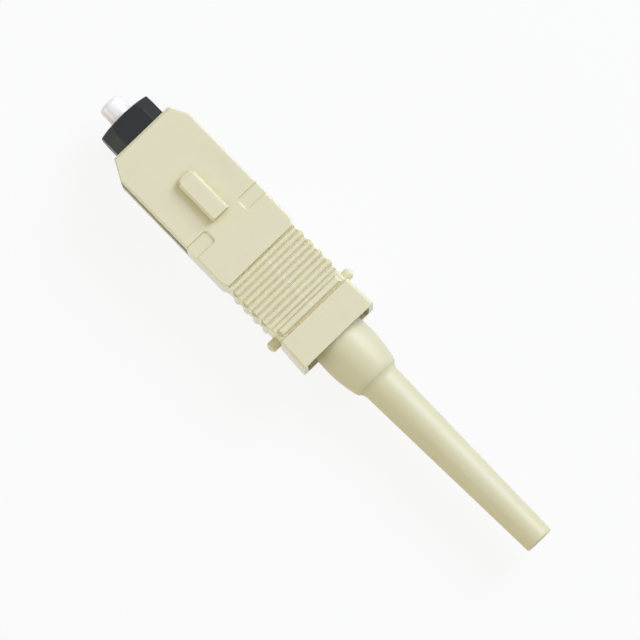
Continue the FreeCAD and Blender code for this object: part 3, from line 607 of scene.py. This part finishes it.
class CONNECTOR_OT_stage(bpy.types.Operator):
    """Set the floor, the lamps and the camera"""
    bl_idname = "connector.stage"
    bl_label = "Studio"

    def execute(self, context):
        look = context.scene.connector_studio
        low, high = (Vector(corner) for corner in CAD_BOX)
        middle = Vector(((low.x + high.x) / 2, 0, 0))
        self.floor(look, low, middle)
        self.room(context, look)
        for name, value, tone, place, width, depth in SOFTBOXES:
            softbox(name, getattr(look, value), linear(tone), middle + Vector(place), middle,
                    width, depth)
        self.camera(context, look)
        context.scene.view_settings.view_transform = "Standard"
        return {"FINISHED"}

    def floor(self, look, low, middle):
        """A flat sheet that the connector lies on."""
        corners = ((-1, -1), (1, -1), (1, 1), (-1, 1))
        mesh = bpy.data.meshes.new("floor")
        mesh.from_pydata([(middle.x + a * FLOOR_HALF, b * FLOOR_HALF, low.z) for a, b in corners],
                         [], [(0, 1, 2, 3)])
        # matt paper: even white that still takes a soft shadow
        made, tree, shader = material("matt white paper", {
            "Base Color": look.floor_colour, "Roughness": 0.9, "Specular IOR Level": 0.2})
        glow = node(tree, "ShaderNodeEmission", {"Color": (1, 1, 1, 1), "Strength": 1.0})
        share = node(tree, "ShaderNodeMath", {"operation": "MULTIPLY", 1: FLOOR_WHITE},
                     {0: white_to_camera(tree)})
        mix = node(tree, "ShaderNodeMixShader", links={
            0: share.outputs[0], 1: shader.outputs["BSDF"], 2: glow.outputs["Emission"]})
        output = next(n for n in tree.nodes if n.type == "OUTPUT_MATERIAL")
        tree.links.new(mix.outputs[0], output.inputs["Surface"])
        mesh.materials.append(made)
        floor = bpy.data.objects.new("floor", mesh)
        bpy.context.scene.collection.objects.link(floor)

    def room(self, context, look):
        """Even light from overhead, and white where the camera looks past the floor."""
        world = bpy.data.worlds.new("studio room")
        world.use_nodes = True
        context.scene.world = world
        tree = world.node_tree
        tree.nodes.clear()
        # the light falls off from the ceiling to the horizon, so that deep gaps stay dark
        place = node(tree, "ShaderNodeTexCoord").outputs["Generated"]
        height = node(tree, "ShaderNodeSeparateXYZ", links={"Vector": place}).outputs["Z"]
        ceiling = node(tree, "ShaderNodeMapRange",
                       {"From Min": 0.05, "From Max": 0.9,
                        "To Min": HORIZON_LIGHT, "To Max": look.world_light},
                       {"Value": height})
        seen = white_to_camera(tree)
        strength = node(tree, "ShaderNodeMix", {"data_type": "FLOAT", 3: 1.0},
                        {0: seen, 2: ceiling.outputs["Result"]})
        tone = node(tree, "ShaderNodeMix",
                    {"data_type": "RGBA", 6: linear("FFFDF8"), 7: (1, 1, 1, 1)}, {0: seen})
        glow = node(tree, "ShaderNodeBackground",
                    links={"Color": tone.outputs[2], "Strength": strength.outputs[0]})
        node(tree, "ShaderNodeOutputWorld", links={"Surface": glow.outputs["Background"]})

    def camera(self, context, look):
        """A long lens almost straight above, turned so that the connector lies aslant."""
        centre = Vector((AIM_X, 0, 0))
        back = Vector(TOWARDS_CAMERA).normalized()
        up = Vector((math.sin(look.roll), -math.cos(look.roll), 0))
        up = (up - back * up.dot(back)).normalized()
        right = up.cross(back)
        data = bpy.data.cameras.new("camera")
        data.sensor_width = 36
        data.lens = data.sensor_width * look.distance / look.field
        data.clip_start, data.clip_end = 0.05, 5
        camera = bpy.data.objects.new("camera", data)
        turn = Matrix((right, up, back)).transposed().to_4x4()
        camera.matrix_world = Matrix.Translation(centre + back * look.distance) @ turn
        context.scene.collection.objects.link(camera)
        context.scene.camera = camera


OPERATORS = (CONNECTOR_OT_grip, CONNECTOR_OT_plug_frame, CONNECTOR_OT_ferrule, CONNECTOR_OT_metal,
             CONNECTOR_OT_guide_tube, CONNECTOR_OT_spring, CONNECTOR_OT_boot, CONNECTOR_OT_stage)
SETTINGS = {"connector_housing": HousingSettings, "connector_boot": BootSettings,
            "connector_spring": SpringSettings, "connector_studio": StudioSettings}


class CONNECTOR_PT_panel(bpy.types.Panel):
    """Lists the connector's values and operators"""
    bl_label = "Fibre connector"
    bl_idname = "CONNECTOR_PT_panel"
    bl_space_type = "VIEW_3D"
    bl_region_type = "UI"
    bl_category = "Connector"

    def draw(self, context):
        for name, group in SETTINGS.items():
            box = self.layout.box()
            for value in group.__annotations__:
                box.prop(getattr(context.scene, name), value)
        for operator in OPERATORS:
            self.layout.operator(operator.bl_idname)


def register():
    for cls in (*SETTINGS.values(), *OPERATORS, CONNECTOR_PT_panel):
        bpy.utils.register_class(cls)
    for name, group in SETTINGS.items():
        setattr(bpy.types.Scene, name, bpy.props.PointerProperty(type=group))


def unregister():
    for name in SETTINGS:
        delattr(bpy.types.Scene, name)
    for cls in reversed((*SETTINGS.values(), *OPERATORS, CONNECTOR_PT_panel)):
        bpy.utils.unregister_class(cls)


def main():
    register()
    bpy.ops.connector.stage()
    bpy.ops.connector.grip()
    bpy.ops.connector.plug_frame()
    bpy.ops.connector.ferrule()
    bpy.ops.connector.metal()
    bpy.ops.connector.guide_tube()
    bpy.ops.connector.spring()
    bpy.ops.connector.boot()


if __name__ == "__main__":
    main()
